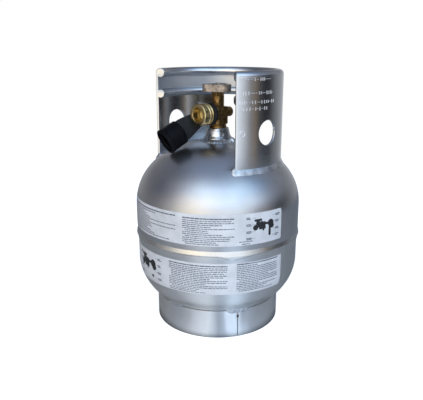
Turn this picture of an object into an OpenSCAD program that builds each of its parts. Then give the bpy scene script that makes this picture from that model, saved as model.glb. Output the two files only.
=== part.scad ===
// Small refillable aluminium gas cylinder: a two-piece shell on a foot ring, with a
// C-shaped guard collar and a brass service valve. Millimetres, +Z up. The origin is the
// centre of the foot ring's underside. The valve's outlet and the collar's opening face -Y.

/* [Shell] */
// Outer radius of the upper half
shell_r = 129.5; // [127:0.5:132]
// How much smaller the lower half is in radius
lower_step = 1.5; // [0.5:0.5:2.5]
// Wall thickness of both halves
shell_wall = 3.2; // [2.8:0.1:3.6]
// Height of the girth weld's centre
girth_z = 150; // [147:1:152]
// Height where the upper dome starts
dome_start_z = 193; // [190:1:196]
// Height of the upper dome above its start
dome_h = 98; // [96:1:100]
// Exponent of the upper dome's superellipse, where 2 is a plain ellipse
dome_power = 2.1; // [2:0.05:2.2]
// Height where the lower dome starts
base_start_z = 105; // [102:1:108]
// Depth of the lower dome below its start
base_h = 94; // [92:1:96]

/* [Foot ring] */
// Outer radius of the foot ring
foot_r = 99.4; // [97:0.1:101]
// Thickness of the foot ring's strip
foot_wall = 3.2; // [2.8:0.1:3.6]
// Width of the open butt seam in the foot ring, in degrees
foot_seam = 0.9; // [0.5:0.1:2]
// Direction of that seam, in degrees from +X
foot_seam_dir = -28; // [-60:1:60]

/* [Collar] */
// Outer radius of the guard collar
collar_r = 98.8; // [97:0.2:100]
// Thickness of the collar's plain web
collar_wall = 3.5; // [3:0.1:4]
// Height of the collar's top edge
collar_top_z = 398.5; // [396:0.5:402]
// Diameter of the round bead along the top edge
top_bead_d = 14; // [12:0.5:16]
// Diameter of the second round bead
mid_bead_d = 13; // [11:0.5:14]
// Height of the second bead's centre
mid_bead_z = 359.5; // [357:0.5:362]
// Half the front opening, in degrees from the outlet's direction
collar_open = 58; // [50:1:62]
// Where each leg ends at the back, in degrees from the outlet's direction
leg_end = 140; // [130:1:150]
// Diameter of the hand hole in each leg
hand_hole_d = 36; // [30:1:40]
// Height of the hand holes' centre
hand_hole_z = 312; // [308:1:320]

/* [Valve] */
// Radius of the boss's bore and of the valve's threaded shank
shank_r = 12.6; // [12.6:0.1:12.8]
// Outer radius of the outlet nose, over its coarse thread
nose_r = 16.65; // [16.5:0.05:17]
// Distance from the valve's axis to the face of the outlet nose
nose_end = 44; // [43:0.5:46]
// Radius of the threaded bore inside the nose
outlet_bore_r = 10.65; // [10.3:0.05:11.2]
// Distance from the valve's axis to one rounded corner of the handwheel
wheel_reach = 24.5; // [23:0.5:26]
// Radius of those rounded corners
wheel_corner_r = 8; // [7:0.5:9]

/* [Cap] */
// Outer radius of the dust cap
cap_r = 19.2; // [19:0.1:19.4]
// Length of the dust cap
cap_length = 30; // [26:1:30]
// Wall thickness of the dust cap's side
cap_wall = 2.1; // [1.6:0.1:2.2]

/* [Hidden] */

$fn = 96;
eps = 0.05;
weld_gap = 0.1;
aluminium = [0.76, 0.78, 0.80];
weld_metal = [0.84, 0.85, 0.87];
brass = [0.62, 0.47, 0.24];
rubber = [0.09, 0.09, 0.10];
steel = [0.60, 0.60, 0.60];
paper = [0.93, 0.93, 0.92];

lower_r = shell_r - lower_step;
dome_top_z = dome_start_z + dome_h;
girth_half = 2;
lip_h = 10;

boss_flange_r = 22;
boss_flange_z = dome_top_z - 0.6;
boss_top_z = dome_top_z + 19;
boss_plug_r = 18.9;

// The valve's own heights, counted from the underside of its flange
valve_z = boss_top_z;
shank_h = 22;
flange_r = 13.25;
flange_h = 7;
flange_groove_z = 2.8;
flange_groove_h = 1.4;
block_size = [24, 26];
block_corner_r = 15.2;
block_top = 32;
column_r = 9.35;
column_top = 48.4;
outlet_h = 22.5;
inlet_r = 5;
seat_h = 16.5;
seat_hole_r = 3.5;
chamber_r = 7.5;
chamber_floor = 15;
arm_r = 14;
arm_end = 25;
nose_chamfer = 1;
passage_r = 8.2;
passage_start = 10.5;
passage_end = 28;
outlet_hole_r = 3.6;
poppet_hole_r = 4.6;
relief_r = 7.75;
relief_end = 28;
relief_chamfer = 1.5;
relief_hole_r = 2.4;
relief_cavity_r = 5.6;
relief_cavity_start = 14;
relief_seal_t = 1.2;
retainer_depth = 3.5;
side_hole_at = 10;
feed_hole_r = 1.6;
vent_boss_r = 5;
vent_boss_end = 18;
vent_bore_r = 2.5;
vent_bore_start = 13;
vent_jet_r = 0.7;
vent_tube_r = 1.6;
vent_tube_bore_r = 0.8;
vent_tube_bottom = -95;
vent_tube_top = -12;
gland_h = 5.5;
gland_flats = 17;
gland_plug_bottom = 41;
seal_pocket_r = 4.9;
seal_pocket_top = 48;
seal_groove_r = 3.1;
seal_groove_h = 1.8;
seal_zs = [43.3, 46.3];
seal_wire_r = 0.78;
spindle_r = 4;
running_gap = 0.05;
tang_bottom = 31.2;
tang_size = [2.2, 10];
slot_width = 2.7;
disc_r = 5.2;
disc_t = 1;
disc_top = 18.6;
spindle_flange_r = 6.6;
spindle_flange_bottom = 38.6;
spindle_flange_top = 40.5;
stem_screw_r = 2.5;

wheel_bottom = 54.5;
wheel_h = 11.5;
wheel_top_plate = 3;
wheel_skirt = 2;
wheel_hub_r = 6.5;
wheel_recess_r = 6;
wheel_recess_h = 1.5;
square_stem = 6.5;
square_stem_h = 8;

pivot_z = valve_z - 52;
pin_r = 1.2;
arm_rest_angle = 60;
arm_depth = 3.5;
arm_t = 4;
arm_hub_r = 2.8;
cam_offset = 3.9;
cam_r = 4.4;
cam_rest_angle = 23;
cage_r = 7.4;
cage_bore_r = 5.2;
cage_h = 22;
cage_hole_r = 3.4;
cage_hole_bottom = 5;
cage_side_hole_r = 1.4;
cage_side_hole_at = 5.8;
ear_size = [7, 2.2, 12];
ear_at = 6.2;
ear_bottom = 33;
piston_r = 5.1;
piston_h = 7.5;
piston_top = -29.5;
piston_rod_r = 2;
piston_foot = -48.8;
piston_foot_r = 4.6;
piston_foot_h = 1.5;
float_r = 11;
float_l = 60;
float_start = 18;

cap_back = [-25.5, -55.5, 306.5];
cap_heading = -106.5;
cap_dip = 28.5;
cap_roll = 14.4;
hinge_gap = 1.6;
hinge_roll_r = 1.25;
tether_ring_r = 17.3;
tether_ring_start = 17;
tether_ring_end = 23;
tether_start = [-16.6, -20, 326.6];
strap_t = 3;
strap_w_start = 24;
strap_w_end = 34;

// Radius of a dome at height h above its start
function dome_r(h, r, top, power) = r * pow(max(0, 1 - pow(h / top, power)), 1 / power);

// Height of the upper dome's outside at distance r from the axis
function upper_z(r) = dome_start_z + dome_h * pow(1 - pow(r / shell_r, dome_power), 1 / dome_power);

// Height of the lower dome's outside at distance r from the axis
function lower_z(r) = base_start_z - base_h * sqrt(1 - pow(r / lower_r, 2));

// Points of a quarter dome from its rim to its top, as [radius, height]
function dome_points(r, top, power, steps = 22) =
    [for (i = [0:steps])
        let (a = 90 * i / steps)
            [r * pow(cos(a), 2 / power), top * pow(sin(a), 2 / power)]];

function raised(points, z) = [for (p = points) [p[0], z + p[1]]];
function lowered(points, z) = [for (p = points) [p[0], z - p[1]]];
function backwards(points) = [for (i = [len(points) - 1:-1:0]) points[i]];

module along_outlet() {
    translate([0, 0, valve_z + outlet_h]) rotate([90, 0, 0]) children();
}

module along_relief() {
    translate([0, 0, valve_z + outlet_h]) rotate([-90, 0, 0]) children();
}

module along_vent() {
    translate([0, 0, valve_z + outlet_h]) rotate([0, -90, 0]) children();
}

// From the cap's own frame, with +Z out of its mouth, to its resting place
module at_cap() {
    translate(cap_back) rotate([0, 90 + cap_dip, cap_heading]) rotate([0, 0, cap_roll]) children();
}

// A ring sector between two directions, in degrees from +X
module sector(from, to) {
    rotate([0, 0, from]) rotate_extrude(angle = to - from, $fn = 180) children();
}

module tube(outer, inner, from, to) {
    difference() {
        translate([0, 0, from]) cylinder(r = outer, h = to - from);
        translate([0, 0, from - 1]) cylinder(r = inner, h = to - from + 2);
    }
}

module hexagon(across_flats, from, to) {
    translate([0, 0, from]) cylinder(r = across_flats / sqrt(3), h = to - from, $fn = 6);
}

// A closed round wire wound along +Z from z = 0 to z = length
module coil_spring(mean_r, wire_r, length, turns) {
    sides = 8;
    per_turn = 14;
    rings = turns * per_turn;
    points = [
        for (i = [0:rings], s = [0:sides - 1])
            let (turn = 360 * i / per_turn, around = 360 * s / sides, r = mean_r + wire_r * cos(around))
                [r * cos(turn), r * sin(turn),
                 wire_r + (length - 2 * wire_r) * i / rings + wire_r * sin(around)]
    ];
    walls = [
        for (i = [0:rings - 1], s = [0:sides - 1])
            let (a = i * sides + s, b = i * sides + (s + 1) % sides)
                [a, b, b + sides, a + sides]
    ];
    first = [for (s = [sides - 1:-1:0]) s];
    last = [for (s = [0:sides - 1]) rings * sides + s];
    polyhedron(points, concat(walls, [first], [last]), convexity = 8);
}

module upper_shell() {
    outer = raised(dome_points(shell_r, dome_h, dome_power), dome_start_z);
    inner = raised(dome_points(shell_r - shell_wall, dome_h - shell_wall, dome_power), dome_start_z);
    rim = girth_z + girth_half;
    color(aluminium) rotate_extrude($fn = 180) difference() {
        polygon(concat([[shell_r, rim]], outer, backwards(inner), [[shell_r - shell_wall, rim]]));
        translate([-1, dome_top_z - 20]) square([boss_plug_r + weld_gap + 1, 30]);
    }
}

module lower_shell() {
    outer = lowered(dome_points(lower_r, base_h, 2), base_start_z);
    inner = lowered(dome_points(lower_r - shell_wall, base_h - shell_wall, 2), base_start_z);
    lip_r = shell_r - shell_wall - weld_gap;
    rim = girth_z - girth_half;
    color(aluminium) rotate_extrude($fn = 180) polygon(concat(
        backwards(outer),
        [[lower_r, rim - 16], [shell_r, rim - 5], [shell_r, rim], [lip_r, rim], [lip_r, rim + lip_h]],
        [[lip_r - shell_wall, rim + lip_h], [lip_r - shell_wall, rim], [lower_r - shell_wall, rim - 6]],
        inner
    ));
}

module girth_weld() {
    crown = 1.6;
    half_width = 3.5;
    crown_r = (half_width * half_width + crown * crown) / (2 * crown);
    color(weld_metal) rotate_extrude($fn = 180) {
        translate([shell_r - shell_wall, girth_z - girth_half]) square([shell_wall, 2 * girth_half]);
        intersection() {
            translate([shell_r + crown - crown_r, girth_z]) circle(r = crown_r);
            translate([shell_r, girth_z - half_width]) square([crown + 1, 2 * half_width]);
        }
    }
}

module neck_boss() {
    color(aluminium) rotate_extrude() polygon([
        [shank_r + eps, dome_top_z - 7], [boss_plug_r, dome_top_z - 7], [boss_plug_r, boss_flange_z],
        [boss_flange_r, boss_flange_z], [boss_flange_r, dome_top_z + 4], [16.2, boss_top_z],
        [shank_r + eps, boss_top_z]
    ]);
}

module boss_weld() {
    inner = boss_flange_r + eps;
    toe_r = boss_flange_r + 6.5;
    color(weld_metal) rotate_extrude() polygon([
        [inner, upper_z(inner) + weld_gap], [toe_r, upper_z(toe_r) + weld_gap],
        [inner + 3.4, upper_z(toe_r) + 3.4], [inner, dome_top_z + 3.4]
    ]);
}

module foot_ring() {
    inner_r = foot_r - foot_wall;
    color(aluminium) sector(foot_seam_dir + foot_seam / 2, foot_seam_dir + 360 - foot_seam / 2) polygon([
        [inner_r, 0], [foot_r, 0],
        [foot_r, lower_z(foot_r) - weld_gap], [inner_r, lower_z(inner_r) - weld_gap]
    ]);
}

module foot_welds() {
    stitches = 6;
    half_angle = 8;
    toe_r = foot_r + 4;
    color(weld_metal) for (i = [0:stitches - 1]) {
        dir = foot_seam_dir + 360 * i / stitches;
        sector(dir - half_angle, dir + half_angle) polygon([
            [foot_r + eps, lower_z(foot_r) - 5], [toe_r, lower_z(toe_r) - weld_gap],
            [foot_r + eps, lower_z(foot_r) - weld_gap]
        ]);
    }
}

module collar() {
    inner_r = collar_r - collar_wall;
    top_bead_r = top_bead_d / 2;
    mid_bead_r = mid_bead_d / 2;
    window_h = mid_bead_z - mid_bead_r - dome_start_z;
    color(aluminium) difference() {
        sector(collar_open - 90, 270 - collar_open) {
            polygon([
                [collar_r, upper_z(collar_r) + weld_gap], [collar_r, collar_top_z - top_bead_r],
                [inner_r, collar_top_z - top_bead_r], [inner_r, upper_z(inner_r) + weld_gap]
            ]);
            translate([collar_r - top_bead_r, collar_top_z - top_bead_r]) circle(r = top_bead_r);
            translate([collar_r - mid_bead_r, mid_bead_z]) circle(r = mid_bead_r);
        }
        sector(leg_end - 90, 270 - leg_end)
            translate([inner_r - 20, dome_start_z]) square([60, window_h]);
        translate([0, 0, hand_hole_z]) rotate([0, 90, 0])
            cylinder(d = hand_hole_d, h = 3 * collar_r, center = true);
    }
}

module collar_welds() {
    inner_r = collar_r - collar_wall;
    leg = 4;
    from = collar_open - 89;
    to = leg_end - 91;
    color(weld_metal) for (side = [0, 1]) mirror([side, 0, 0]) {
        sector(from, to) polygon([
            [collar_r + eps, upper_z(collar_r) + weld_gap],
            [collar_r + leg, upper_z(collar_r + leg) + weld_gap],
            [collar_r + eps, upper_z(collar_r) + leg]
        ]);
        sector(from, to) polygon([
            [inner_r - eps, upper_z(inner_r) + weld_gap],
            [inner_r - eps, upper_z(inner_r) + leg],
            [inner_r - leg, upper_z(inner_r - leg) + weld_gap]
        ]);
    }
}

// A thin sheet on a dome between two heights above its start, given the dome's shape
module label_profile(r, top, power, from, to) {
    steps = 14;
    sheet = 0.25;
    heights = [for (i = [0:steps]) from + (to - from) * i / steps];
    polygon(concat(
        [for (h = heights) [dome_r(max(0, h), r + eps, top + eps, power), h]],
        [for (h = backwards(heights)) [dome_r(max(0, h), r + eps + sheet, top + eps + sheet, power), h]]
    ));
}

module upper_label() {
    color(paper) translate([0, 0, dome_start_z]) sector(-134, -1)
        label_profile(shell_r, dome_h, dome_power, 161 - dome_start_z, 207 - dome_start_z);
}

module lower_label() {
    color(paper) translate([0, 0, base_start_z]) mirror([0, 0, 1]) sector(-134, 1)
        label_profile(lower_r, base_h, 2, base_start_z - 131, base_start_z - 84);
}

module valve_body() {
    shank_bottom = valve_z - shank_h;
    nose_l = nose_end - arm_end - nose_chamfer;
    color(brass) difference() {
        union() {
            translate([0, 0, shank_bottom]) cylinder(r = shank_r, h = shank_h + 1);
            translate([0, 0, valve_z]) cylinder(r = flange_r, h = flange_h);
            intersection() {
                translate([-block_size[0] / 2, -block_size[1] / 2, valve_z + flange_h - 1])
                    cube([block_size[0], block_size[1], block_top - flange_h + 1]);
                translate([0, 0, valve_z]) cylinder(r = block_corner_r, h = block_top + 1);
            }
            translate([0, 0, valve_z + block_top - 1])
                cylinder(r = column_r, h = column_top - block_top + 1);
            along_outlet() {
                cylinder(r = arm_r, h = arm_end);
                translate([0, 0, arm_end]) cylinder(r = nose_r, h = nose_l);
                translate([0, 0, nose_end - nose_chamfer])
                    cylinder(r1 = nose_r, r2 = nose_r - nose_chamfer, h = nose_chamfer);
            }
            along_relief() {
                cylinder(r = relief_r, h = relief_end - relief_chamfer);
                translate([0, 0, relief_end - relief_chamfer])
                    cylinder(r1 = relief_r, r2 = relief_r - relief_chamfer, h = relief_chamfer);
            }
            along_vent() cylinder(r = vent_boss_r, h = vent_boss_end);
        }
        // Groove round the flange
        translate([0, 0, valve_z + flange_groove_z])
            tube(flange_r + 1, flange_r - 1, 0, flange_groove_h);
        // Inlet, seat and the chamber that the spindles work in
        translate([0, 0, shank_bottom - 1])
            cylinder(r = inlet_r, h = shank_h + chamber_floor - 1);
        translate([0, 0, valve_z]) {
            cylinder(r = seat_hole_r, h = seat_h + 1);
            tube(chamber_r, seat_hole_r + 1, chamber_floor, seat_h + 1);
            translate([0, 0, seat_h]) cylinder(r = chamber_r, h = column_top);
        }
        // Outlet: threaded bore, check valve passage and the hole into the chamber
        along_outlet() {
            translate([0, 0, passage_end]) cylinder(r = outlet_bore_r, h = nose_end);
            translate([0, 0, passage_start]) cylinder(r = passage_r, h = passage_end);
            translate([0, 0, chamber_r - 2.5]) cylinder(r = outlet_hole_r, h = passage_end);
        }
        // Relief valve: feed hole up from the shank, seat hole and cavity
        translate([0, side_hole_at, shank_bottom - 1])
            cylinder(r = feed_hole_r, h = shank_h + 1 + outlet_h);
        along_relief() {
            translate([0, 0, side_hole_at]) cylinder(r = relief_hole_r, h = relief_end);
            translate([0, 0, relief_cavity_start]) cylinder(r = relief_cavity_r, h = relief_end);
        }
        // Vent: hole for the dip tube, jet and the screw's bore
        translate([-side_hole_at, 0, shank_bottom - 1])
            cylinder(r = vent_tube_r + eps, h = shank_h + 1 + outlet_h);
        along_vent() {
            translate([0, 0, side_hole_at]) cylinder(r = vent_jet_r, h = vent_boss_end);
            translate([0, 0, vent_bore_start]) cylinder(r = vent_bore_r, h = vent_boss_end);
        }
    }
}

module gland_nut() {
    through = column_top + gland_h;
    color(brass) translate([0, 0, valve_z]) difference() {
        union() {
            hexagon(gland_flats, column_top + eps, through);
            translate([0, 0, gland_plug_bottom])
                cylinder(r = chamber_r - eps, h = column_top - gland_plug_bottom + 1);
        }
        translate([0, 0, gland_plug_bottom - 1])
            cylinder(r = spindle_r + running_gap, h = through);
        translate([0, 0, gland_plug_bottom - 1])
            cylinder(r = seal_pocket_r, h = seal_pocket_top - gland_plug_bottom + 1);
    }
}

module upper_spindle() {
    stem_bottom = spindle_flange_top - 1;
    stem_top = wheel_bottom - 0.3;
    color(brass) translate([0, 0, valve_z]) difference() {
        union() {
            translate([-tang_size[0] / 2, -tang_size[1] / 2, tang_bottom])
                cube([tang_size[0], tang_size[1], spindle_flange_bottom - tang_bottom + 1]);
            translate([0, 0, spindle_flange_bottom])
                cylinder(r = spindle_flange_r, h = spindle_flange_top - spindle_flange_bottom);
            translate([0, 0, stem_bottom]) cylinder(r = spindle_r, h = stem_top - stem_bottom);
            translate([-square_stem / 2, -square_stem / 2, stem_top - 0.1])
                cube([square_stem, square_stem, square_stem_h + 0.4]);
            translate([0, 0, wheel_bottom]) cylinder(r = stem_screw_r, h = wheel_h + 2);
        }
        for (z = seal_zs) translate([0, 0, z - seal_groove_h / 2])
            tube(spindle_r + 1, seal_groove_r, 0, seal_groove_h);
    }
}

module spindle_seals() {
    ring_r = seal_groove_r + 0.07 + seal_wire_r;
    color(rubber) translate([0, 0, valve_z]) for (z = seal_zs)
        translate([0, 0, z]) rotate_extrude() translate([ring_r, 0]) circle(r = seal_wire_r, $fn = 24);
}

// Triangle with three round corners, the first one towards +X
module rounded_triangle(reach, corner_r) {
    hull() for (corner = [0, 120, 240])
        rotate(corner) translate([reach - corner_r, 0]) circle(r = corner_r, $fn = 60);
}

module handwheel() {
    pocket_h = wheel_h - wheel_top_plate;
    square_hole = square_stem + 2 * eps;
    color([0.45, 0.43, 0.40]) translate([0, 0, valve_z + wheel_bottom]) difference() {
        union() {
            difference() {
                linear_extrude(wheel_h) rounded_triangle(wheel_reach, wheel_corner_r);
                translate([0, 0, -1]) linear_extrude(pocket_h + 1)
                    rounded_triangle(wheel_reach - wheel_skirt, wheel_corner_r - wheel_skirt);
            }
            cylinder(r = wheel_hub_r, h = wheel_h - 1);
        }
        translate([-square_hole / 2, -square_hole / 2, -1])
            cube([square_hole, square_hole, square_stem_h + 1.2]);
        translate([0, 0, square_stem_h]) cylinder(r = stem_screw_r + 0.1, h = wheel_h);
        translate([0, 0, wheel_h - wheel_recess_h])
            cylinder(r = wheel_recess_r, h = wheel_recess_h + 1);
    }
}

module handwheel_nut() {
    nut_h = 3;
    nut_flats = 8;
    seat_z = wheel_bottom + wheel_h - wheel_recess_h + 0.1;
    color(steel) translate([0, 0, valve_z + seat_z]) difference() {
        hexagon(nut_flats, 0, nut_h);
        translate([0, 0, -1]) cylinder(r = stem_screw_r + eps, h = 2 * nut_h);
    }
}

module lower_spindle() {
    disc_h = 2.4;
    neck_bottom = 20;
    head_bottom = 27;
    head_h = 8.5;
    color(brass) translate([0, 0, valve_z]) difference() {
        union() {
            translate([0, 0, disc_top]) cylinder(r = disc_r + 0.4, h = disc_h);
            translate([0, 0, neck_bottom]) cylinder(r = 3.8, h = head_bottom - neck_bottom + 1);
            translate([0, 0, head_bottom]) cylinder(r = chamber_r - 0.2, h = head_h);
        }
        translate([-slot_width / 2, -chamber_r - 1, head_bottom + 1])
            cube([slot_width, 2 * chamber_r + 2, head_h + 1]);
    }
}

module seat_disc() {
    color([0.85, 0.83, 0.76]) translate([0, 0, valve_z + disc_top - disc_t])
        cylinder(r = disc_r, h = disc_t);
}

module outlet_seat_ring() {
    color(brass) along_outlet()
        tube(passage_r - eps, poppet_hole_r, passage_end - 1.9, passage_end - 0.1);
}

module outlet_poppet() {
    back = 14;
    face = passage_end - 2.2;
    disc_h = 2.2;
    fin = [2.8, 1.2, 4.9];
    color([0.15, 0.15, 0.16]) along_outlet() {
        translate([0, 0, face - disc_h]) cylinder(r = 6.2, h = disc_h);
        translate([0, 0, face - 1]) cylinder(r = 2.2, h = 2.8);
        translate([0, 0, back]) cylinder(r = 2, h = face - back - 1);
        for (a = [0, 120, 240]) rotate([0, 0, a])
            translate([passage_r - 3, -fin[1] / 2, face - 5]) cube(fin);
    }
}

module outlet_spring() {
    length = passage_end - 4.5 - passage_start;
    color(steel) along_outlet() translate([0, 0, passage_start]) coil_spring(4.2, 0.5, length, 4);
}

module relief_retainer() {
    color(brass) along_relief()
        tube(relief_cavity_r - eps, relief_hole_r, relief_end - retainer_depth, relief_end - 0.5);
}

module relief_poppet() {
    stem_r = 1.6;
    color(brass) along_relief() translate([0, 0, relief_cavity_start + 0.2 + relief_seal_t]) {
        cylinder(r = 4.4, h = 2);
        translate([0, 0, 1.6]) cylinder(r = stem_r, h = 7.5);
    }
}

module relief_seal() {
    color(rubber) along_relief() translate([0, 0, relief_cavity_start + 0.2])
        cylinder(r = 4, h = relief_seal_t);
}

module relief_spring() {
    back = relief_cavity_start + 3.5;
    length = relief_end - retainer_depth - back;
    color(steel) along_relief() translate([0, 0, back]) coil_spring(3.2, 0.55, length, 4);
}

module vent_screw() {
    head_at = vent_boss_end + 0.4;
    head_r = 4.4;
    head_h = 5;
    screw_r = vent_bore_r - 0.08;
    tip = vent_bore_start + 0.5;
    tip_h = 2;
    slot = [1.2, 12, 1.6];
    color(brass) along_vent() difference() {
        union() {
            translate([0, 0, tip]) cylinder(r1 = 0.4, r2 = screw_r, h = tip_h);
            translate([0, 0, tip + tip_h]) cylinder(r = screw_r, h = head_at - tip - tip_h + 1);
            translate([0, 0, head_at]) cylinder(r = head_r, h = head_h);
        }
        translate([-slot[0] / 2, -slot[1] / 2, head_at + head_h - slot[2]]) cube(slot + [0, 0, 1]);
    }
}

module vent_tube() {
    color(brass) translate([-side_hole_at, 0, valve_z])
        tube(vent_tube_r, vent_tube_bore_r, vent_tube_bottom, vent_tube_top);
}

module float_valve_housing() {
    color(brass) translate([0, 0, valve_z - shank_h]) difference() {
        union() {
            translate([0, 0, -cage_h]) cylinder(r = cage_r, h = cage_h);
            translate([0, 0, -1]) cylinder(r = inlet_r - eps, h = 9);
            for (side = [-1, 1])
                translate([-ear_size[0] / 2, side * ear_at - ear_size[1] / 2, -ear_bottom])
                    cube(ear_size);
        }
        translate([0, 0, -cage_hole_bottom]) cylinder(r = cage_hole_r, h = cage_h);
        translate([0, 0, -cage_h - 1])
            cylinder(r = cage_bore_r, h = cage_h + 2 - cage_hole_bottom);
        for (turn = [0, 90]) rotate([0, 0, turn])
            translate([0, 0, -cage_side_hole_at]) rotate([90, 0, 0])
                cylinder(r = cage_side_hole_r, h = 3 * cage_r, center = true);
        translate([0, 0, pivot_z - valve_z + shank_h]) rotate([90, 0, 0])
            cylinder(r = pin_r, h = 3 * cage_r, center = true);
    }
}

module float_valve_piston() {
    rod_l = piston_top - piston_foot - 1;
    color([0.15, 0.15, 0.16]) translate([0, 0, valve_z]) {
        translate([0, 0, piston_top - piston_h]) cylinder(r = piston_r, h = piston_h);
        translate([0, 0, piston_foot + 0.5]) cylinder(r = piston_rod_r, h = rod_l);
        translate([0, 0, piston_foot]) cylinder(r = piston_foot_r, h = piston_foot_h);
    }
}

module float_pin() {
    color(steel) translate([0, 0, pivot_z]) rotate([90, 0, 0])
        cylinder(r = pin_r, h = 15, center = true);
}

module float_arm() {
    color([0.15, 0.15, 0.16]) translate([0, 0, pivot_z]) rotate([90, 0, 0]) difference() {
        union() {
            cylinder(r = arm_hub_r, h = arm_t, center = true);
            rotate([0, 0, -cam_rest_angle]) translate([cam_offset, 0, 0])
                cylinder(r = cam_r, h = arm_t, center = true);
            rotate([0, 0, -arm_rest_angle]) translate([0, -arm_depth / 2, -arm_t / 2])
                cube([float_start + 4, arm_depth, arm_t]);
        }
        cylinder(r = pin_r + running_gap, h = 5 * arm_t, center = true);
    }
}

module float() {
    socket = [float_start + 4 + eps, arm_t + 2 * eps, arm_depth + 2 * eps];
    color([0.30, 0.28, 0.26]) translate([0, 0, pivot_z]) rotate([0, arm_rest_angle, 0])
        difference() {
            translate([float_start, 0, 0]) rotate([0, 90, 0]) cylinder(r = float_r, h = float_l);
            translate([0, -socket[1] / 2, -socket[2] / 2]) cube(socket);
        }
}

// One end slab of the tether's strap, flat across the cap's own Y axis
module strap_slab(width) {
    cube([width, strap_t, 1], center = true);
}

module cap_tether() {
    color(rubber) {
        along_outlet() tube(tether_ring_r, arm_r + 0.3, tether_ring_start, tether_ring_end);
        hull() {
            translate(tether_start - cap_back) at_cap() strap_slab(strap_w_start);
            at_cap() translate([0, 0, -hinge_gap - 0.7]) strap_slab(strap_w_end);
        }
        at_cap() translate([0, 0, -hinge_gap]) rotate([0, 90, 0])
            cylinder(r = hinge_roll_r, h = strap_w_end - 2, center = true);
    }
}

module dust_cap() {
    rim_h = 4;
    rim_lip = 0.8;
    end_wall = 2.5;
    color(rubber) at_cap() difference() {
        union() {
            cylinder(r = cap_r, h = cap_length);
            translate([0, 0, cap_length - rim_h]) cylinder(r = cap_r + rim_lip, h = rim_h);
        }
        translate([0, 0, end_wall]) cylinder(r = cap_r - cap_wall, h = cap_length);
    }
}

upper_shell();
lower_shell();
girth_weld();
neck_boss();
boss_weld();
foot_ring();
foot_welds();
collar();
collar_welds();
upper_label();
lower_label();
valve_body();
gland_nut();
upper_spindle();
spindle_seals();
handwheel();
handwheel_nut();
lower_spindle();
seat_disc();
outlet_seat_ring();
outlet_poppet();
outlet_spring();
relief_retainer();
relief_poppet();
relief_seal();
relief_spring();
vent_screw();
vent_tube();
float_valve_housing();
float_valve_piston();
float_pin();
float_arm();
float();
cap_tether();
dust_cap();
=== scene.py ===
"""The looks of a small aluminium propane tank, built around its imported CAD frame.

Lengths in this file are millimetres and angles are degrees from +X, like the CAD source.
"""
import random
from functools import partial
from math import acos, asin, atan2, copysign, cos, degrees, exp, hypot, pi, radians, sin, sqrt, tan, tau
import bpy
import bmesh
from mathutils import Matrix, Vector, noise


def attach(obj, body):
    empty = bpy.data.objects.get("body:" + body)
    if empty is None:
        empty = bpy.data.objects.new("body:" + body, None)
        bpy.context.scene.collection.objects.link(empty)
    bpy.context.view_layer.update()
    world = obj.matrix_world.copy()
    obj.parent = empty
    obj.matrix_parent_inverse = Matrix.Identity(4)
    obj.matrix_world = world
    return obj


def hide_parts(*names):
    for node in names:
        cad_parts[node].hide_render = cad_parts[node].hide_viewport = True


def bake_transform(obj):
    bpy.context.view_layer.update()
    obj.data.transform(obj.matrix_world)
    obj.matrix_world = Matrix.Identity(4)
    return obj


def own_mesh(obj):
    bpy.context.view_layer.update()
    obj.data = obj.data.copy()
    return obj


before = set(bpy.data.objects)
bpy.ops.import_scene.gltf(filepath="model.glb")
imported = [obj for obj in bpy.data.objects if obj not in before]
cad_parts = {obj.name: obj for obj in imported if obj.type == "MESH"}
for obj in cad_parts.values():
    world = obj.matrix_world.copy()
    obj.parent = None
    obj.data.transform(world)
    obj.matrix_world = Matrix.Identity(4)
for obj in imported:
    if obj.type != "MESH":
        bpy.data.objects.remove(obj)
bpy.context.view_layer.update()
scene = bpy.context.scene

MM = 0.001
MERGE = 1e-6
CREASE = 38

# Driving dimensions, repeated from the CAD source
SHELL_R = 129.5
SHELL_WALL = 3.2
DOME_START = 193
DOME_H = 98
DOME_POWER = 2.1
LOWER_R = 128
BASE_START = 105
BASE_H = 94
GIRTH_Z = 150
NECK_HOLE_R = 19
BOSS_R = 22
BOSS_TOP = 310
VALVE_HOLE_R = 12.7
FOOT_R = 99.4
FOOT_WALL = 3.2
SEAM_DIR = -28
COLLAR_R = 98.8
COLLAR_WALL = 3.5
COLLAR_TOP = 398.5
TOP_BEAD_R = 7
MID_BEAD_R = 6.5
MID_BEAD_Z = 359.5
COLLAR_FROM = -32
COLLAR_TO = 212
WINDOW_FROM = 50
WINDOW_TO = 130
HAND_HOLE_R = 18
HAND_HOLE_Z = 312
OUTLET_Z = 332.5
NOSE_START = -25
NOSE_END = -44
NOSE_R = 16.65
CAP_BACK = Vector((-25.5, -55.5, 306.5))
CAP_HEADING = -106.5
CAP_DIP = 28.5
CAP_ROLL = 14.4
CAP_R = 19.2
CAP_LENGTH = 30
STRAP_START = Vector((-16.6, -20, 326.6))

# The stickers and the foot's seam; the lower sticker's top edge is 5 mm higher here than in the
# CAD source, its bottom edge 1 mm higher, and the seam 0.2 degrees narrower
LABELS_FROM = -134
UPPER_LABEL_TO = -1
UPPER_LABEL_LOW = 161
UPPER_LABEL_TOP = 207
LOWER_LABEL_TO = 1
LOWER_LABEL_LOW = 85
LOWER_LABEL_TOP = 136
SEAM_WIDTH = 0.7


# ---- shapes

def upper_z(r):
    """Height of the upper dome's outside at distance r from the axis."""
    return DOME_START + DOME_H * (1 - (r / SHELL_R) ** DOME_POWER) ** (1 / DOME_POWER)


def lower_z(r):
    """Height of the lower dome's outside at distance r from the axis."""
    return BASE_START - BASE_H * sqrt(1 - (r / LOWER_R) ** 2)


def spread(start, end, count):
    """count + 1 evenly spaced numbers from start to end."""
    return [start + (end - start) * i / count for i in range(count + 1)]


def polar(r, angle, z):
    """A point at distance r from the tank's axis."""
    turn = radians(angle)
    return (r * cos(turn), r * sin(turn), z)


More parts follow.
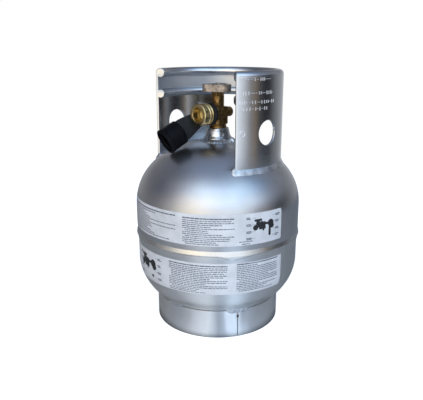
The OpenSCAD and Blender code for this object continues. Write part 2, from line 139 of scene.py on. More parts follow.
def section_at(outline, angle):
    """A (radius, height) outline, stood up at an angle round the tank's axis."""
    return [polar(r, angle, z) for r, z in outline]


def rotation(angle, axis, size=4):
    """A turn about an axis."""
    return Matrix.Rotation(radians(angle), size, axis)


def smooth_step(value, low, high):
    """0 below low, 1 above high and a smooth change between them."""
    t = min(1, max(0, (value - low) / (high - low)))
    return t * t * (3 - 2 * t)


def rounded(corners, steps=4):
    """An outline from (x, y, radius) corners, where each corner becomes an arc."""
    outline = []
    for i, (x, y, radius) in enumerate(corners):
        here = Vector((x, y))
        back = (Vector(corners[i - 1][:2]) - here).normalized()
        ahead = (Vector(corners[(i + 1) % len(corners)][:2]) - here).normalized()
        half = back.angle(ahead) / 2
        if radius == 0:
            outline.append((x, y))
            continue
        centre = here + (back + ahead).normalized() * radius / sin(half)
        start = here + back * radius / tan(half) - centre
        end = here + ahead * radius / tan(half) - centre
        turn = start.angle_signed(end)
        for k in range(steps + 1):
            arm = Matrix.Rotation(-turn * k / steps, 2) @ start
            outline.append(tuple(centre + arm))
    return outline


def dome_arc(radius, height, power, stop_r, steps):
    """A quarter superellipse from its rim to radius stop_r, as (radius, height above the rim)."""
    last = acos((stop_r / radius) ** (power / 2))
    angles = spread(0, last, steps)
    return [(radius * cos(a) ** (2 / power), height * sin(a) ** (2 / power)) for a in angles]


def ring_faces(count, size, loop):
    """Faces between each closed row of points and the next one; loop joins the last to the first."""
    faces = []
    for i in range(count if loop else count - 1):
        here = i * size
        there = (i + 1) % count * size
        for j in range(size):
            k = (j + 1) % size
            faces.append((here + j, here + k, there + k, there + j))
    return faces


def skin(sections, loop):
    """Points and faces that join equal closed sections, with end faces unless they form a loop."""
    count = len(sections)
    size = len(sections[0])
    faces = ring_faces(count, size, loop)
    if not loop:
        faces.append(tuple(range(size)))
        faces.append(tuple(range((count - 1) * size, count * size)))
    return [p for section in sections for p in section], faces


def tidy_mesh(obj, crease=CREASE):
    """Merges doubled points, turns the faces outward and shades smooth but for sharp edges."""
    bm = bmesh.new()
    bm.from_mesh(obj.data)
    bmesh.ops.remove_doubles(bm, verts=bm.verts, dist=MERGE)
    bmesh.ops.dissolve_degenerate(bm, edges=bm.edges, dist=MERGE)
    bmesh.ops.recalc_face_normals(bm, faces=bm.faces)
    for face in bm.faces:
        face.smooth = True
    for edge in bm.edges:
        edge.smooth = len(edge.link_faces) == 2 and edge.calc_face_angle() < radians(crease)
    bm.to_mesh(obj.data)
    bm.free()


def new_object(name, data):
    """A new object in the scene."""
    obj = bpy.data.objects.new(name, data)
    scene.collection.objects.link(obj)
    return obj


def build(name, shapes, crease=CREASE):
    """One mesh object from (points, faces) shapes in millimetres."""
    points = []
    faces = []
    for shape_points, shape_faces in shapes:
        first = len(points)
        points += [Vector(p) * MM for p in shape_points]
        faces += [tuple(first + i for i in face) for face in shape_faces]
    mesh = bpy.data.meshes.new(name)
    mesh.from_pydata(points, [], faces)
    obj = new_object(name, mesh)
    tidy_mesh(obj, crease)
    return obj


def turned(profile, segments, start=0, end=360):
    """A closed (radius, height) profile turned about the tank's axis."""
    loop = end - start == 360
    angles = spread(start, end, segments)
    if loop:
        angles = angles[:-1]
    return skin([section_at(profile, a) for a in angles], loop)


def moved(shape, matrix):
    """A shape's copy, moved by a matrix in millimetres."""
    points, faces = shape
    return [matrix @ Vector(p) for p in points], faces


def apply_modifiers(obj):
    """Replaces an object's mesh with what its modifiers make of it."""
    bpy.context.view_layer.update()
    evaluated = obj.evaluated_get(bpy.context.evaluated_depsgraph_get())
    mesh = bpy.data.meshes.new_from_object(evaluated)
    obj.modifiers.clear()
    obj.data = mesh


def softened(name, node, voxel, passes):
    """A copy of a CAD node with its edges rounded as if cast or machined, in one closed mesh."""
    obj = new_object(name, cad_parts[node].data.copy())
    obj.data.materials.clear()
    tidy_mesh(obj)
    remesh = obj.modifiers.new("remesh", "REMESH")
    remesh.mode = "VOXEL"
    remesh.voxel_size = voxel * MM
    relax = obj.modifiers.new("relax", "SMOOTH")
    relax.factor = 0.5
    relax.iterations = passes
    apply_modifiers(obj)
    obj.data.shade_smooth()
    return obj


def finish_piece(obj, slot, material, *replaced, body="tank"):
    """Gives a piece its material and body, and hides the CAD nodes that it stands for."""
    obj.data.materials.clear()
    obj.data.materials.append(material)
    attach(obj, body)
    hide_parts(*replaced)


def add_piece(name, shapes, slot, material, *replaced, body="tank", crease=CREASE):
    """Builds a piece from its shapes and finishes it."""
    finish_piece(build(name, shapes, crease), slot, material, *replaced, body=body)


# ---- material helpers

def put(tree, kind, inputs=None, **settings):
    """Adds a shader node; an input's value is a number, a colour or another node's output."""
    item = tree.nodes.new("ShaderNode" + kind)
    for key, value in settings.items():
        setattr(item, key, value)
    for key, value in (inputs or {}).items():
        if isinstance(value, bpy.types.NodeSocket):
            tree.links.new(value, item.inputs[key])
        else:
            item.inputs[key].default_value = value
    return item


def calc(tree, operation, first, second=0.0):
    """A Math node's output."""
    return put(tree, "Math", {0: first, 1: second}, operation=operation).outputs[0]


def shader_of(material):
    """A material's Principled shader."""
    return material.node_tree.nodes["Principled BSDF"]


def new_material(name, base, metallic, roughness):
    """A Principled material; returns it with its node tree and shader."""
    material = bpy.data.materials.new(name)
    material.use_nodes = True
    shader = shader_of(material)
    shader.inputs["Base Color"].default_value = (*base, 1)
    shader.inputs["Metallic"].default_value = metallic
    shader.inputs["Roughness"].default_value = roughness
    return material, material.node_tree, shader


def place(tree):
    """The point's place on its piece, in metres."""
    return put(tree, "TexCoord").outputs["Object"]


def scaled(tree, vector, scale):
    """A vector multiplied along each axis."""
    return put(tree, "VectorMath", {0: vector, 1: scale}, operation="MULTIPLY").outputs[0]


def axes(tree, vector):
    """A vector's X, Y and Z."""
    return put(tree, "SeparateXYZ", {0: vector}).outputs[:]


def axis_distance(tree):
    """The point's distance from the tank's axis, in metres."""
    flat = scaled(tree, place(tree), (1, 1, 0))
    return put(tree, "VectorMath", {0: flat}, operation="LENGTH").outputs[1]


def around_axis(tree, around, across):
    """Coordinates that change slowly round the tank's axis and fast across it."""
    x, y, z = axes(tree, place(tree))
    r = axis_distance(tree)
    height = calc(tree, "MULTIPLY", calc(tree, "SUBTRACT", z, r), across)
    parts = [calc(tree, "MULTIPLY", calc(tree, "DIVIDE", axis, r), around) for axis in (x, y)]
    return put(tree, "CombineXYZ", {0: parts[0], 1: parts[1], 2: height}).outputs[0]


def grain(tree, vector, scale, detail=3.0, rough=0.55):
    """A noise texture's value."""
    inputs = {"Vector": vector, "Scale": scale, "Detail": detail, "Roughness": rough}
    return put(tree, "TexNoise", inputs).outputs["Fac"]


def ramp(tree, factor, stops):
    """A colour ramp's colour, from (position, colour) stops."""
    item = put(tree, "ValToRGB", {0: factor})
    elements = item.color_ramp.elements
    while len(elements) < len(stops):
        elements.new(0.5)
    for element, (position, colour) in zip(elements, stops):
        element.position = position
        element.color = (*colour, 1)
    return item.outputs[0]


def fade(tree, factor, low, high, to_low, to_high):
    """A number that goes from to_low to to_high as factor goes from low to high."""
    inputs = {0: factor, 1: low, 2: high, 3: to_low, 4: to_high}
    return put(tree, "MapRange", inputs, interpolation_type="SMOOTHSTEP").outputs[0]


def mixed(tree, factor, first, second):
    """A blend of two colours."""
    item = put(tree, "Mix", {0: factor}, data_type="RGBA")
    for socket, colour in ((item.inputs[6], first), (item.inputs[7], second)):
        if isinstance(colour, bpy.types.NodeSocket):
            tree.links.new(colour, socket)
        else:
            socket.default_value = (*colour, 1)
    return item.outputs[2]


def bump(tree, shader, height, depth):
    """Small relief of the given depth in millimetres."""
    relief = put(tree, "Bump", {"Height": height, "Distance": depth * MM, "Strength": 1.0}).outputs[0]
    tree.links.new(relief, shader.inputs["Normal"])


def connect(tree, output, shader, socket):
    """Links a node's output to one of the shader's inputs."""
    tree.links.new(output, shader.inputs[socket])


# ---- materials

def drawn_aluminium(name, light, dark, rough_low, rough_high, streak_depth):
    """Satin sheet metal with faint drawing marks round the axis and uneven gloss."""
    material, tree, shader = new_material(name, light, 1.0, rough_low)
    streaks = grain(tree, around_axis(tree, 1.2, 420), 1.0, 5.0, 0.6)
    clouds = grain(tree, place(tree), 22, 4.0)
    connect(tree, ramp(tree, clouds, [(0.3, dark), (0.7, light)]), shader, "Base Color")
    blend = calc(tree, "ADD", calc(tree, "MULTIPLY", streaks, 0.5), calc(tree, "MULTIPLY", clouds, 0.5))
    connect(tree, fade(tree, blend, 0.3, 0.7, rough_low, rough_high), shader, "Roughness")
    bump(tree, shader, streaks, streak_depth)
    return material


def dull_groove(material, low_z, high_z):
    """Leaves the collar's inner face between its beads satin instead of bright."""
    tree = material.node_tree
    shader = shader_of(material)
    z = axes(tree, place(tree))[2]
    inside = fade(tree, axis_distance(tree), (COLLAR_R - 2) * MM, (COLLAR_R - 1) * MM, 0.22, 0.0)
    above = fade(tree, z, low_z * MM, (low_z + 3) * MM, 0.0, 1.0)
    below = fade(tree, z, (high_z - 3) * MM, high_z * MM, 1.0, 0.0)
    extra = calc(tree, "MULTIPLY", inside, calc(tree, "MULTIPLY", above, below))
    was = shader.inputs["Roughness"].links[0].from_socket
    connect(tree, calc(tree, "ADD", was, extra), shader, "Roughness")


def worn(name, base, metallic, roughness, cloud, tones, gloss, relief=None):
    """A material whose colour and gloss follow one cloudy noise, with fine relief.

    cloud is the noise's (scale, detail, roughness), gloss the roughness at its low and high end,
    and relief the (stretch along Z, scale, detail, depth in millimetres) of the bumps.
    """
    material, tree, shader = new_material(name, base, metallic, roughness)
    clouds = grain(tree, place(tree), *cloud)
    connect(tree, ramp(tree, clouds, tones), shader, "Base Color")
    connect(tree, fade(tree, clouds, 0.3, 0.7, *gloss), shader, "Roughness")
    if relief:
        stretch, scale, detail, depth = relief
        bump(tree, shader, grain(tree, scaled(tree, place(tree), (1, 1, stretch)), scale, detail), depth)
    return material


def weld_material():
    """Bright weld metal with a fine frosted surface and a little soot."""
    tones = [(0.34, (0.42, 0.43, 0.45)), (0.55, (0.74, 0.76, 0.79))]
    frost = (1, 900, 3.0, 0.05)
    return worn("weld_metal", (0.72, 0.74, 0.77), 1.0, 0.3, (45, 3.0), tones, (0.42, 0.26), frost)


def turned_aluminium():
    """Machined aluminium with fine turning rings."""
    material, tree, shader = new_material("turned_aluminium", (0.66, 0.68, 0.71), 1.0, 0.25)
    rings = grain(tree, around_axis(tree, 0.6, 1500), 1.0, 2.0)
    stain = grain(tree, place(tree), 90, 3.0)
    tones = [(0.35, (0.40, 0.40, 0.41)), (0.6, (0.68, 0.70, 0.73))]
    connect(tree, ramp(tree, stain, tones), shader, "Base Color")
    connect(tree, fade(tree, rings, 0.3, 0.7, 0.18, 0.34), shader, "Roughness")
    bump(tree, shader, rings, 0.03)
    return material


def valve_brass():
    """Forged brass, browned all over but for the machined outlet nose."""
    material, tree, shader = new_material("valve_brass", (0.52, 0.37, 0.14), 1.0, 0.35)
    y = axes(tree, place(tree))[1]
    nose = fade(tree, y, NOSE_START * MM, (NOSE_START - 3) * MM, 0.0, 1.0)
    patina = grain(tree, place(tree), 160, 5.0, 0.65)
    pits = grain(tree, place(tree), 1300, 2.0)
    tones = [(0.32, (0.11, 0.06, 0.022)), (0.5, (0.25, 0.145, 0.05)), (0.7, (0.45, 0.29, 0.11))]
    browned = ramp(tree, patina, tones)
    bright = ramp(tree, patina, [(0.3, (0.40, 0.29, 0.12)), (0.62, (0.68, 0.55, 0.29))])
    connect(tree, mixed(tree, nose, browned, bright), shader, "Base Color")
    dull = fade(tree, patina, 0.3, 0.7, 0.46, 0.34)
    gloss = calc(tree, "SUBTRACT", dull, calc(tree, "MULTIPLY", nose, 0.16))
    connect(tree, gloss, shader, "Roughness")
    bump(tree, shader, pits, 0.05)
    return material


def machined_brass():
    """Clean turned brass of the small inner parts."""
    tones = [(0.35, (0.42, 0.28, 0.10)), (0.6, (0.70, 0.52, 0.21))]
    rings = (12, 300, 2.0, 0.02)
    return worn("machined_brass", (0.66, 0.48, 0.19), 1.0, 0.28, (240, 4.0), tones, (0.4, 0.24), rings)


def cast_wheel():
    """Die-cast metal, stained grey and brown by handling."""
    tones = [(0.34, (0.10, 0.085, 0.075)), (0.48, (0.27, 0.225, 0.19)), (0.64, (0.46, 0.40, 0.35))]
    pits = (1, 1100, 3.0, 0.12)
    stain = (120, 5.0, 0.6)
    return worn("cast_wheel", (0.36, 0.32, 0.28), 0.85, 0.45, stain, tones, (0.55, 0.36), pits)


def zinc_steel():
    """Bright zinc-plated steel."""
    tones = [(0.3, (0.38, 0.38, 0.37)), (0.65, (0.60, 0.60, 0.59))]
    return worn("zinc_steel", (0.56, 0.56, 0.55), 1.0, 0.3, (380, 4.0), tones, (0.42, 0.24))


def moulded(name, low, high, rough_low, rough_high, grain_depth, gloss=0.5):
    """Moulded rubber or plastic with uneven gloss and a fine grain."""
    tones = [(0.35, low), (0.65, high)]
    fine = (1, 1600, 2.0, grain_depth)
    material = worn(name, high, 0.0, rough_low, (85, 4.0), tones, (rough_low, rough_high), fine)
    shader_of(material).inputs["Specular IOR Level"].default_value = gloss
    return material


def sticker_paper():
    """Coated white sticker film, slightly rippled and soiled."""
    tones = [(0.32, (0.66, 0.67, 0.69)), (0.6, (0.80, 0.81, 0.84))]
    soil = (38, 5.0, 0.6)
    ripples = (0.35, 120, 2.0, 0.12)
    material = worn("sticker_paper", (0.78, 0.80, 0.84), 0.0, 0.38, soil, tones, (0.46, 0.32), ripples)
    shader = shader_of(material)
    shader.inputs["Coat Weight"].default_value = 0.25
    shader.inputs["Coat Roughness"].default_value = 0.2
    return material


def printing_ink(name, low, high):
    """Printed ink that is a little worn."""
    material, tree, shader = new_material(name, high, 0.0, 0.5)
    wear = grain(tree, place(tree), 700, 4.0)
    connect(tree, ramp(tree, wear, [(0.4, low), (0.7, high)]), shader, "Base Color")
    return material


SHELL_METAL = drawn_aluminium("shell_metal", (0.64, 0.65, 0.67), (0.56, 0.57, 0.59), 0.27, 0.34, 0.008)
LOWER_METAL = drawn_aluminium("lower_metal", (0.78, 0.79, 0.80), (0.68, 0.69, 0.69), 0.30, 0.40, 0.012)
FOOT_METAL = drawn_aluminium("foot_metal", (0.86, 0.87, 0.88), (0.74, 0.75, 0.76), 0.13, 0.22, 0.004)
COLLAR_METAL = drawn_aluminium("collar_metal", (0.68, 0.70, 0.73), (0.58, 0.60, 0.63), 0.13, 0.22, 0.015)
dull_groove(COLLAR_METAL, MID_BEAD_Z, COLLAR_TOP - TOP_BEAD_R)
# Painted highlight: the stamped marks take a lighter, bluer copy of the collar's metal
STAMPED_METAL_PAINTED_HIGHLIGHT = drawn_aluminium("stamped_metal_painted_highlight", (0.90, 0.92, 0.96), (0.78, 0.80, 0.84), 0.30, 0.42, 0.01)
WELD_METAL = weld_material()
BEAD_METAL = drawn_aluminium("bead_metal", (0.80, 0.80, 0.79), (0.66, 0.65, 0.63), 0.20, 0.32, 0.01)
TURNED_METAL = turned_aluminium()
VALVE_BRASS = valve_brass()
CLEAN_BRASS = machined_brass()
WHEEL_METAL = cast_wheel()
STEEL = zinc_steel()
CAP_RUBBER = moulded("cap_rubber", (0.003, 0.003, 0.004), (0.006, 0.006, 0.009), 0.42, 0.58, 0.05, 0.09)
STRAP_RUBBER = moulded("strap_rubber", (0.014, 0.015, 0.017), (0.028, 0.029, 0.031), 0.5, 0.62, 0.06, 0.2)
SEAL_RUBBER = moulded("seal_rubber", (0.012, 0.012, 0.012), (0.02, 0.02, 0.02), 0.35, 0.5, 0.02)
NYLON = moulded("nylon", (0.60, 0.58, 0.50), (0.70, 0.68, 0.60), 0.35, 0.45, 0.02)
DARK_PLASTIC = moulded("dark_plastic", (0.018, 0.018, 0.02), (0.03, 0.03, 0.032), 0.4, 0.52, 0.03)
FLOAT_FOAM = moulded("float_foam", (0.04, 0.035, 0.03), (0.075, 0.066, 0.058), 0.6, 0.75, 0.1)
PAPER = sticker_paper()
TEXT_INK = printing_ink("text_ink", (0.06, 0.07, 0.10), (0.20, 0.22, 0.27))
FIGURE_INK = printing_ink("figure_ink", (0.010, 0.010, 0.012), (0.03, 0.03, 0.035))


# ---- shells and welds

def make_upper_shell():
    """The drawn upper half with its dome and neck hole."""
    outer = dome_arc(SHELL_R, DOME_H, DOME_POWER, NECK_HOLE_R, 72)
    inner = dome_arc(SHELL_R - SHELL_WALL, DOME_H - SHELL_WALL, DOME_POWER, NECK_HOLE_R, 48)
    rim = GIRTH_Z + 2
    profile = [(SHELL_R, rim), (SHELL_R, rim + 20)]
    profile += [(r, DOME_START + h) for r, h in outer]
    profile += [(r, DOME_START + h) for r, h in reversed(inner)]
    profile += [(SHELL_R - SHELL_WALL, rim)]
    add_piece("upper_half", [turned(profile, 288)], "shell", SHELL_METAL, "upper_shell")


def make_lower_shell():
    """The drawn lower half, which swells out to its joggled rim."""
    outer = dome_arc(LOWER_R, BASE_H, 2, 0, 64)
    inner = dome_arc(LOWER_R - SHELL_WALL, BASE_H - SHELL_WALL, 2, 0, 40)
    lip_r = SHELL_R - SHELL_WALL - 0.1
    rim = GIRTH_Z - 2
    swell = spread(0, 1, 10)
    swell_r = SHELL_R - LOWER_R
    profile = [(r, BASE_START - h) for r, h in reversed(outer)]
    profile += [(LOWER_R + swell_r * smooth_step(t, 0, 1), rim - 17 + 12 * t) for t in swell]
    profile += [(SHELL_R, rim), (lip_r, rim), (lip_r, rim + 10), (lip_r - SHELL_WALL, rim + 10)]
    profile += [(lip_r - SHELL_WALL, rim), (LOWER_R - SHELL_WALL, rim - 6)]
    profile += [(r, BASE_START - h) for r, h in inner]
    add_piece("lower_half", [turned(profile, 288)], "shell", LOWER_METAL, "lower_shell")


def ripple(distance, seed, pitch):
    """The stacked-coin pattern along a weld, from 0 to 1, a little uneven."""
    drift = 0.5 * noise.noise(Vector((distance * 0.11, seed, 0)))
    phase = (distance / pitch + drift) % 1
    return (1 - phase) ** 1.4 * (0.75 + 0.5 * noise.noise(Vector((distance * 0.3, seed, 5))))


def girth_surface(z):
    """Radius of the two halves' outside near the girth."""
    return LOWER_R + (SHELL_R - LOWER_R) * smooth_step(z, GIRTH_Z - 19, GIRTH_Z - 7)


def make_girth_weld():
    """The smooth bead round the middle, with a flat run-out where it was closed."""
    across = spread(-1, 1, 20)
    crown = 1.6
    run_out_at = 322
    sections = []
    for angle in spread(0, 360, 1080)[:-1]:
        along = radians(angle) * SHELL_R
        off = (angle - run_out_at + 180) % 360 - 180
        blob = exp(-(off / 5) ** 2) if off < 0 else exp(-(off / 12) ** 2)
        wander = 0.5 * noise.noise(Vector((along * 0.02, 4, 0)))
        low = GIRTH_Z - 5.4 + wander - 5.5 * blob
        high = GIRTH_Z + 3.5 + 0.4 * wander
        section = [(SHELL_R - SHELL_WALL, GIRTH_Z + 2), (SHELL_R - SHELL_WALL, GIRTH_Z - 2)]
        for t in across:
            z = low + (high - low) * (t + 1) / 2
            hump = smooth_step(t, -1.15, -0.55) * (1 - max(0, t + 0.55) / 1.55)
            coin = ripple(along + 1.6 * t * t, 0.0, 2.6)
            lift = crown * (0.94 + 0.08 * coin) + 0.5 * blob
            section.append((min(girth_surface(z) - 0.12 + hump * lift, SHELL_R + 1.5), z))
        sections.append(section_at(section, angle))
    add_piece("girth_bead", [skin(sections, True)], "weld", BEAD_METAL, "girth_weld")


def fillet(top, toe, root, bulge):
    """A weld's outline in a corner: a bulging face from top to toe, then the root inside the metal."""
    a = Vector(top)
    b = Vector(toe)
    middle = (a + b) / 2
    out = (middle - Vector(root)).normalized() * bulge
    points = []
    for t in spread(0, 1, 8):
        points.append(a * (1 - t) ** 2 + (middle + out) * 2 * t * (1 - t) + b * t * t)
    return points + [Vector(root)]


def make_boss_weld():
    """The fillet round the neck boss."""
    sections = []
    for angle in spread(0, 360, 360)[:-1]:
        along = radians(angle) * BOSS_R
        coin = ripple(along, 3.0, 3.4)
        toe_r = BOSS_R + 6.6 + 1.3 * noise.noise(Vector((along * 0.15, 1, 0))) + 0.5 * coin
        top = (BOSS_R - 0.3, upper_z(BOSS_R) + 3.6 + 0.6 * coin)
        toe = (toe_r, upper_z(toe_r) - 0.05)
        root = (BOSS_R - 1, upper_z(BOSS_R) - 1)
        sections.append(section_at(fillet(top, toe, root, 0.6 + 2.0 * coin), angle))
    add_piece("boss_fillet", [skin(sections, True)], "weld", WELD_METAL, "boss_weld")


def make_neck_boss():
    """The turned spud that the valve screws into."""
    low = DOME_START + DOME_H - 7
    profile = rounded([
        (VALVE_HOLE_R, low, 0.3), (NECK_HOLE_R - 0.1, low, 0.5), (NECK_HOLE_R - 0.1, low + 6.4, 0),
        (BOSS_R, low + 6.4, 0.3), (BOSS_R, low + 10.4, 1.6), (19.4, low + 14, 2.5),
        (16.4, BOSS_TOP, 0.9), (VALVE_HOLE_R, BOSS_TOP, 0.3)
    ])
    add_piece("neck_spud", [turned(profile, 120)], "boss", TURNED_METAL, "neck_boss")


def make_foot_ring():
    """The rolled strip, its edges rounded and its butt seam open."""
    inner_r = FOOT_R - FOOT_WALL
    top_out = lower_z(FOOT_R) - 0.9
    top_in = lower_z(inner_r) - 0.3
    corners = [(inner_r, 0.01, 0.8), (FOOT_R, 0.01, 0.9), (FOOT_R, top_out, 0.25), (inner_r, top_in, 0.4)]
    outline = rounded(corners)
    rows = 30
    profile = []
    for (r0, z0), (r1, z1) in zip(outline, outline[1:] + outline[:1]):
        parts = rows if abs(z1 - z0) > 10 else 1
        profile += [(r0 + (r1 - r0) * i / parts, z0 + (z1 - z0) * i / parts) for i in range(parts)]
    half_gap = SEAM_WIDTH / 2
    notch_z = 34.6
    angles = [SEAM_DIR + half_gap + (360 - 2 * half_gap) * t for t in spread(0, 1, 300)]
    sections = []
    for angle in angles:
        side = angle - SEAM_DIR if angle - SEAM_DIR < 180 else angle - SEAM_DIR - 360
        near = exp(-(side / 1.2) ** 2)
        section = []
        for r, z in profile:
            notch = 0.95 * near * exp(-((z - notch_z) / 1.5) ** 4)
            flat = 0.4 * exp(-((abs(side) - 7) / 3.5) ** 2)
            section.append(polar(r - 0.2 * near - flat, angle + copysign(notch, side), z))
        sections.append(section)
    add_piece("foot_strip", [skin(sections, False)], "foot", FOOT_METAL, "foot_ring")


def make_foot_welds():
    """Six short stitches that hold the foot ring."""
    shapes = []
    for i in range(6):
        centre = SEAM_DIR + 60 * i
        half = 10 if i == 0 else 8
        low = 6.8 if i == 0 else 4.6
        sections = []
        for t in spread(-1, 1, 72):
            angle = centre + half * t
            along = radians(angle) * FOOT_R
            uneven = 0.82 + 0.18 * noise.noise(Vector((along * 0.2, i, 0)))
            size = uneven * sqrt(max(0.02, 1 - t ** 6))
            coin = ripple(along, float(i), 2.4)
            toe_r = FOOT_R + 3.8 * size
            top = (FOOT_R - 0.1, lower_z(FOOT_R) - low * size)
            toe = (toe_r, lower_z(toe_r) + 0.2)
            root = (FOOT_R - 1.2, lower_z(FOOT_R) + 0.4)
            sections.append(section_at(fillet(top, toe, root, size * (0.6 + 1.3 * coin)), angle))
        shapes.append(skin(sections, False))
    add_piece("foot_stitches", shapes, "weld", WELD_METAL, "foot_welds")


# ---- collar

def hole_grid(centre_angle, columns, rows):
    """Flat (angle, height) points and faces round a hand hole, out to the grid's own border."""
    ring = []
    ring += [(a, rows[0]) for a in columns[:-1]]
    ring += [(columns[-1], z) for z in rows[:-1]]
    ring += [(a, rows[-1]) for a in reversed(columns[1:])]
    ring += [(columns[0], z) for z in reversed(rows[1:])]
    loops = []
    for t in spread(0, 1, 6):
        loop = []
        for a, z in ring:
            across = COLLAR_R * sin(radians(a - centre_angle))
            up = z - HAND_HOLE_Z
            reach = hypot(across, up)
            hole_across = across * HAND_HOLE_R / reach
            hole_up = up * HAND_HOLE_R / reach
            x = hole_across + (across - hole_across) * t
            angle = centre_angle + degrees(asin(x / COLLAR_R))
            loop.append((angle, HAND_HOLE_Z + hole_up + (up - hole_up) * t))
        loops.append(loop)
    return [p for loop in loops for p in loop], ring_faces(len(loops), len(ring), False)


def web_grid(columns, rows, keep):
    """A flat grid of (angle, height) cells, with only the cells that keep allows."""
    points = [(a, z) for z in rows for a in columns]
    width = len(columns)
    faces = []
    for j in range(len(rows) - 1):
        for i in range(width - 1):
            if keep((columns[i] + columns[i + 1]) / 2, (rows[j] + rows[j + 1]) / 2):
                here = j * width + i
                faces.append((here, here + 1, here + width + 1, here + width))
    return points, faces


def joined(lists):
    """Several ascending lists as one, without repeats."""
    merged = []
    for values in lists:
        merged += values if not merged else values[1:]
    return merged


def collar_sheet():
    """The collar's plain web: a bent sheet with a rear window and two hand holes."""
    foot = upper_z(COLLAR_R) - 0.6
    window_top = MID_BEAD_Z - MID_BEAD_R
    half = 14
    hole_columns = {c: spread(c - half, c + half, 14) for c in (0, 180)}
    hole_rows = spread(HAND_HOLE_Z - 24, HAND_HOLE_Z + 24, 14)
    columns = joined([
        spread(COLLAR_FROM, -half, 9), hole_columns[0], spread(half, WINDOW_FROM, 18),
        spread(WINDOW_FROM, WINDOW_TO, 40), spread(WINDOW_TO, 180 - half, 18), hole_columns[180],
        spread(180 + half, COLLAR_TO, 9)
    ])
    rows = joined([
        spread(foot, hole_rows[0], 12), hole_rows, spread(hole_rows[-1], window_top, 4),
        spread(window_top, COLLAR_TOP - TOP_BEAD_R, 12)
    ])

    def keep(angle, z):
        in_window = WINDOW_FROM < angle < WINDOW_TO and z < window_top
        near_hole = hole_rows[0] < z < hole_rows[-1] and min(abs(angle), abs(angle - 180)) < half
        return not (in_window or near_hole)

    flat = [web_grid(columns, rows, keep)]
    flat += [hole_grid(centre, hole_columns[centre], hole_rows) for centre in (0, 180)]
    sheet = build("collar_sheet", [([polar(COLLAR_R, a, z) for a, z in p], f) for p, f in flat])
    bm = bmesh.new()
    bm.from_mesh(sheet.data)
    bmesh.ops.delete(bm, geom=[v for v in bm.verts if not v.link_faces], context="VERTS")
    for face in bm.faces:
        centre = face.calc_center_median()
        if face.normal.dot(Vector((centre.x, centre.y, 0))) < 0:
            face.normal_flip()
    bm.to_mesh(sheet.data)
    bm.free()
    thick = sheet.modifiers.new("thickness", "SOLIDIFY")
    thick.thickness = COLLAR_WALL * MM
    thick.offset = -1
    soft = sheet.modifiers.new("edges", "BEVEL")
    soft.width = 0.7 * MM
    soft.segments = 3
    soft.limit_method = "ANGLE"
    soft.angle_limit = radians(50)
    apply_modifiers(sheet)
    return sheet


def bead(centre_z, radius, inset):
    """A round bead along the collar, with softened cut ends."""
    centre_r = COLLAR_R - radius - inset
    chamfer = 0.8
    ring = [radians(t) for t in spread(0, 360, 32)[:-1]]
    ends = [(COLLAR_FROM, radius - chamfer), (COLLAR_FROM + 0.5, radius)]
    middle = [(a, radius) for a in spread(COLLAR_FROM + 1.5, COLLAR_TO - 1.5, 160)]
    ends_after = [(COLLAR_TO - 0.5, radius), (COLLAR_TO, radius - chamfer)]
    sections = []
    for angle, size in ends + middle + ends_after:
        circle = [(centre_r + size * cos(t), centre_z + size * sin(t)) for t in ring]
        sections.append(section_at(circle, angle))
    return skin(sections, False)


def punch_mark(angle, z):
    """A small round punch mark: a low rim with a crown inside it."""
    matrix = rotation(angle, "Z") @ Matrix.Translation((COLLAR_R - 0.35, 0, z)) @ rotation(90, "Y")
    turns = [radians(t) for t in spread(0, 360, 12)[:-1]]
    rim = [(3.9 + 0.75 * cos(t), 0.55 * sin(t)) for t in turns]
    dot = [(0, 0.6), (0.7, 0.5), (1.1, 0), (0, 0)]
    return [moved(turned(rim, 40), matrix), moved(turned(dot, 24), matrix)]


def stamped_bar(angle, z, wide, tall):
    """One low raised bar on the collar's outside."""
    half = degrees(wide / 2 / COLLAR_R)
    top = COLLAR_R + 0.6
    section = [(COLLAR_R - 0.3, -tall / 2), (top, -tall / 2 + 0.4)]
    section += [(top, tall / 2 - 0.4), (COLLAR_R - 0.3, tall / 2)]
    sides = [[polar(r, a, z + h) for r, h in section] for a in (angle - half, angle + half)]
    return skin(sides, False)


def stamped_rows():
    """Rows of plain bars and dashes on the right leg, where the real collar is stamped."""
    rng = random.Random(5)
    shapes = []
    for z, start, end in ((387.5, -24, 3), (369, -26, 6), (356.5, -29, 7), (347.5, -28, -1)):
        angle = start
        while angle < end:
            if rng.random() < 0.6:
                shapes.append(stamped_bar(angle, z, 1.2, rng.uniform(4.2, 5.6)))
            else:
                shapes.append(stamped_bar(angle, z, 2.4, 1.4))
            angle += rng.uniform(1.9, 3.0)
    return shapes


def join_pieces(target, others):
    """Adds the meshes of other objects to target and removes them."""
    bm = bmesh.new()
    for obj in [target] + others:
        bm.from_mesh(obj.data)
    bm.to_mesh(target.data)
    bm.free()
    for obj in others:
        bpy.data.objects.remove(obj)


def make_collar():
    """The C-shaped guard collar with its two round beads."""
    sheet = collar_sheet()
    top = bead(COLLAR_TOP - TOP_BEAD_R, TOP_BEAD_R - 0.04, 0)
    middle = bead(MID_BEAD_Z, MID_BEAD_R, 0.15)
    beads = build("collar_beads", [top, middle])
    join_pieces(sheet, [beads])
    sheet.name = "guard_collar"
    tidy_mesh(sheet)
    finish_piece(sheet, "collar", COLLAR_METAL, "collar")
    marks = punch_mark(-26, HAND_HOLE_Z + 2) + stamped_rows()
    # The marks' lighter metal is a painted highlight on the stamped relief
    add_piece("collar_marks", marks, "collar", STAMPED_METAL_PAINTED_HIGHLIGHT, crease=20)


def leg_path(start, end):
    """A path round one collar leg's foot, as (point, outward direction)."""
    middle_r = COLLAR_R - COLLAR_WALL / 2
    path = []
    for r, first, last, side in ((COLLAR_R, start, end, 1), (COLLAR_R - COLLAR_WALL, end, start, -1)):
        path += [(Vector(polar(r, a, 0)), Vector(polar(side, a, 0))) for a in spread(first, last, 110)]
        for turn in spread(0, 180, 14)[1:-1]:
            out = rotation(turn, "Z", 3) @ Vector(polar(side, last, 0))
            path.append((Vector(polar(middle_r, last, 0)) + out * COLLAR_WALL / 2, out))
    return path


